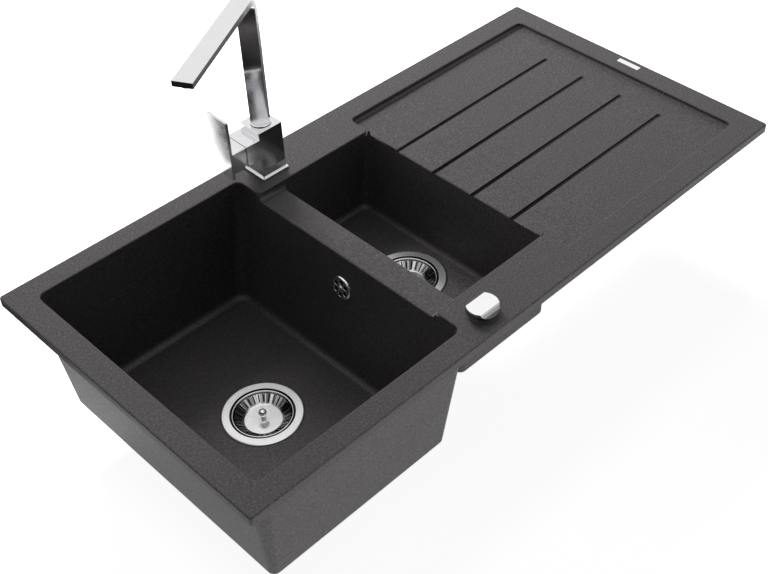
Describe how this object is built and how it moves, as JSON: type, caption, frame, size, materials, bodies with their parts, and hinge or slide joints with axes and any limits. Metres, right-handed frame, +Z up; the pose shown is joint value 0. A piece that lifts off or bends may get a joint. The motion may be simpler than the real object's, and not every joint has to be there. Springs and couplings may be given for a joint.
{
  "type": "kitchen sink with drainer",
  "caption": "Inset granite sink with a deep main bowl, a half bowl, a grooved drainer, basket wastes, an overflow, a control knob and a square swivel tap.",
  "frame": {"origin": "middle of the rim's outline in plan, level with the worktop that the rim rests on", "axes": "+X along the sink towards the drainer, +Y from the front edge to the tap side, +Z up"},
  "size_m": [1, 0.5, 0.5403],
  "materials": {
    "granite": "matte, with fine light specks",
    "tap_chrome": "mirror polished",
    "strainer_steel": "polished",
    "plain_steel": "satin",
    "brass": "machined",
    "moulded_plastic": "moulded",
    "white_plastic": "moulded",
    "rubber": "matte"
  },
  "bodies": {
    "sink": {"sink_body": "granite", "badge_plate": "plain_steel", "main_flange": "strainer_steel", "main_flange_seal": "rubber", "main_cup_seal": "rubber", "main_cup": "moulded_plastic", "main_clamp_screw": "plain_steel", "half_flange": "strainer_steel", "half_flange_seal": "rubber", "half_cup_seal": "rubber", "half_cup": "moulded_plastic", "half_clamp_screw": "plain_steel", "overflow_cover": "tap_chrome", "overflow_screw": "plain_steel", "overflow_seal": "rubber", "overflow_housing": "moulded_plastic", "knob_bush": "tap_chrome", "knob_washer": "rubber", "knob_nut": "brass", "knob_cable_case": "moulded_plastic", "tap_body": "tap_chrome", "tap_base_plate": "tap_chrome", "tap_base_gasket": "rubber", "tap_shank": "brass", "tap_shank_gasket": "rubber", "tap_shank_washer": "plain_steel", "tap_shank_nut": "brass", "spout_collar": "tap_chrome", "spout_stop_screw": "plain_steel", "cartridge": "white_plastic", "cartridge_nut": "brass"},
    "control": {"control_knob": "tap_chrome", "knob_spindle": "brass"},
    "lifter": {"main_lifter_pin": "brass"},
    "main_strainer": {"main_basket": "strainer_steel", "main_basket_seal": "rubber", "main_basket_pull": "strainer_steel"},
    "half_strainer": {"half_basket": "strainer_steel", "half_basket_seal": "rubber", "half_basket_pull": "strainer_steel"},
    "swivel_spout": {"spout": "tap_chrome", "spout_o_rings": "rubber", "aerator": "tap_chrome", "aerator_screen": "white_plastic"},
    "lever_turret": {"cartridge_turret": "white_plastic", "lever_pivot_pin": "plain_steel"},
    "lever_handle": {"lever": "tap_chrome", "lever_stem": "plain_steel", "lever_grub_screw": "plain_steel"}
  },
  "joints": [
    {"name": "spout_swivel", "type": "hinge", "parent": "sink", "child": "swivel_spout", "pos_m": [-0.0895, 0.2105, 0.084], "axis": [0, 0, 1], "range_deg": [-30, 150]},
    {"name": "lever_turn", "type": "hinge", "parent": "sink", "child": "lever_turret", "pos_m": [-0.13375, 0.2105, 0.067], "axis": [1, 0, 0], "range_deg": [-45, 45]},
    {"name": "lever_lift", "type": "hinge", "parent": "lever_turret", "child": "lever_handle", "pos_m": [-0.13075, 0.2105, 0.067], "axis": [0, -1, 0], "range_deg": [0, 15]},
    {"name": "control_turn", "type": "hinge", "parent": "sink", "child": "control", "pos_m": [-0.0945, -0.2135, 0.014], "axis": [0, 0, 1], "range_deg": [0, 90]},
    {"name": "main_lifter_slide", "type": "slide", "parent": "sink", "child": "lifter", "axis": [0, 0, 1], "range_m": [0, 0.006]},
    {"name": "main_basket_lift", "type": "slide", "parent": "lifter", "child": "main_strainer", "axis": [0, 0, 1], "range_m": [0, 0.06]},
    {"name": "half_basket_lift", "type": "slide", "parent": "sink", "child": "half_strainer", "axis": [0, 0, 1], "range_m": [0, 0.06]}
  ],
  "couplings": [
    {"joint": "main_lifter_slide", "follows": "control_turn", "m_per_rad": 0.003819}
  ]
}
